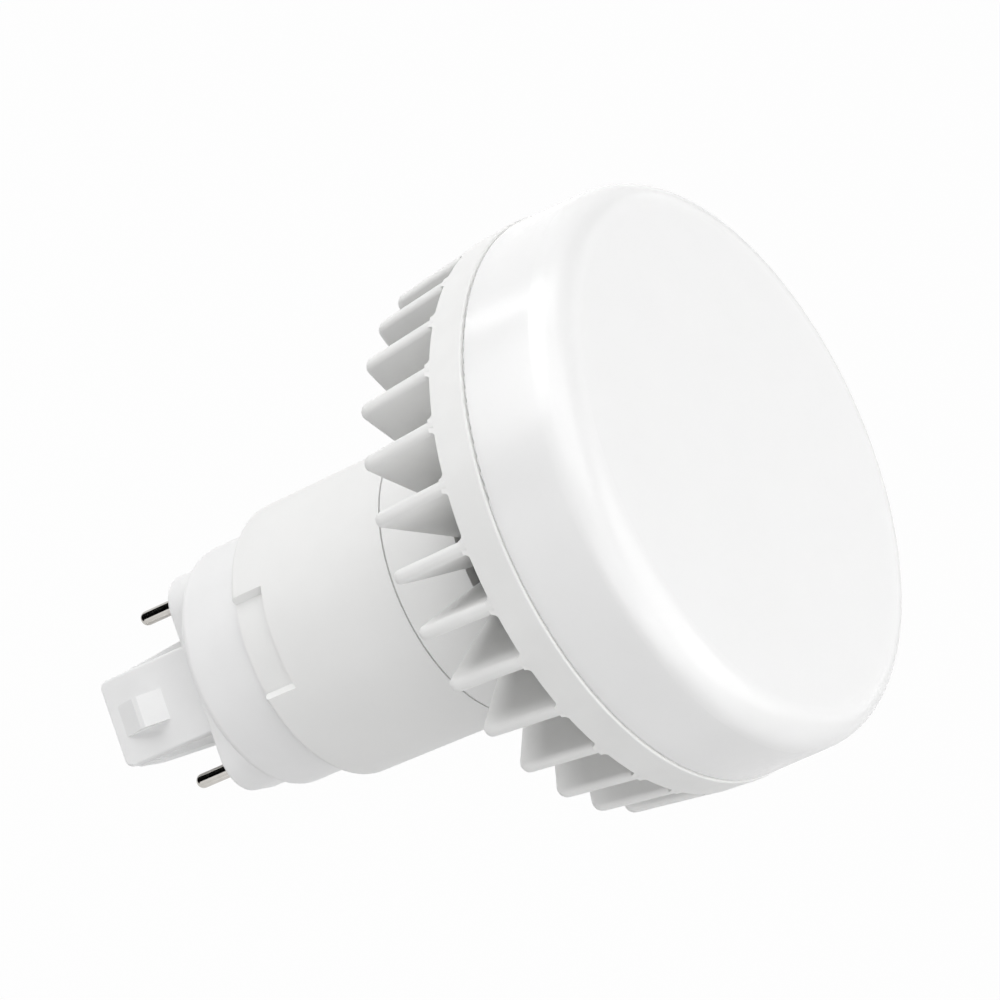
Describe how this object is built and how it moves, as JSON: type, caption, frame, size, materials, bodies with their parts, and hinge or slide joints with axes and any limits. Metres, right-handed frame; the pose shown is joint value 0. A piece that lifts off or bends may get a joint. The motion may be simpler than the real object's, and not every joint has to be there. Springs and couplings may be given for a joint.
{
  "type": "plug-in led lamp",
  "caption": "Plug-in LED lamp: puck-shaped opal diffuser on a finned white heat sink, cylindrical driver housing, and a keyed pin cap.",
  "frame": {"origin": "centre of the cap's seating face, in the middle of the four contact pins", "axes": "+Z runs along the lamp from the cap to the diffuser, +X runs along the longer pin spacing, +Y across it"},
  "size_m": [0.0764, 0.0764, 0.1017],
  "materials": {
    "opal_polycarbonate": "moulded opal polycarbonate, satin gloss",
    "coated_heat_sink": "white powder coat on die-cast aluminium",
    "white_housing": "moulded white PBT, fine satin",
    "white_cap": "moulded white PBT, fine satin",
    "plated_pin": "bright nickel plate over brass",
    "coated_board_aluminium": "white solder resist over aluminium",
    "phosphor_package": "yellow phosphor in a white package",
    "thermal_silicone": "grey silicone pad",
    "terminal_plastic": "white terminal body",
    "zinc_steel": "zinc-plated steel",
    "bush_rubber": "black rubber",
    "board_laminate": "green solder resist over glass laminate",
    "ferrite": "sintered ferrite",
    "bobbin_plastic": "black phenolic",
    "enamelled_copper": "enamelled copper wire",
    "capacitor_can": "aluminium can in a dark sleeve",
    "film_box": "yellow potted box",
    "package_epoxy": "black moulded epoxy",
    "fuse_case": "brown moulded case",
    "varistor_coat": "blue epoxy over zinc oxide",
    "resistor_coat": "grey-green coating over ceramic",
    "white_wire": "white insulated wire",
    "red_wire": "red insulated wire",
    "black_wire": "black insulated wire"
  },
  "bodies": {
    "root": {"base_cap": "white_cap", "board_screws": "zinc_steel", "board_terminal": "terminal_plastic", "bridge_rectifier": "package_epoxy", "cathode_resistors": "resistor_coat", "choke_core": "ferrite", "choke_winding": "enamelled_copper", "collar_screws": "zinc_steel", "contact_pin_1": "plated_pin", "contact_pin_2": "plated_pin", "contact_pin_3": "plated_pin", "contact_pin_4": "plated_pin", "control_chip": "package_epoxy", "diffuser": "opal_polycarbonate", "driver_board": "board_laminate", "driver_housing": "white_housing", "film_capacitor": "film_box", "heat_sink": "coated_heat_sink", "housing_collar": "white_housing", "input_capacitor": "capacitor_can", "lead_bush": "bush_rubber", "led_board": "coated_board_aluminium", "led_packages": "phosphor_package", "line_fuse": "fuse_case", "negative_lead": "black_wire", "output_capacitor": "capacitor_can", "output_diode": "package_epoxy", "pin_lead_1": "white_wire", "pin_lead_2": "white_wire", "pin_lead_3": "white_wire", "pin_lead_4": "white_wire", "positive_lead": "red_wire", "surge_varistor": "varistor_coat", "switch_transistor": "package_epoxy", "thermal_pad": "thermal_silicone", "transformer_bobbin": "bobbin_plastic", "transformer_core": "ferrite", "transformer_winding": "enamelled_copper"}
  },
  "joints": []
}
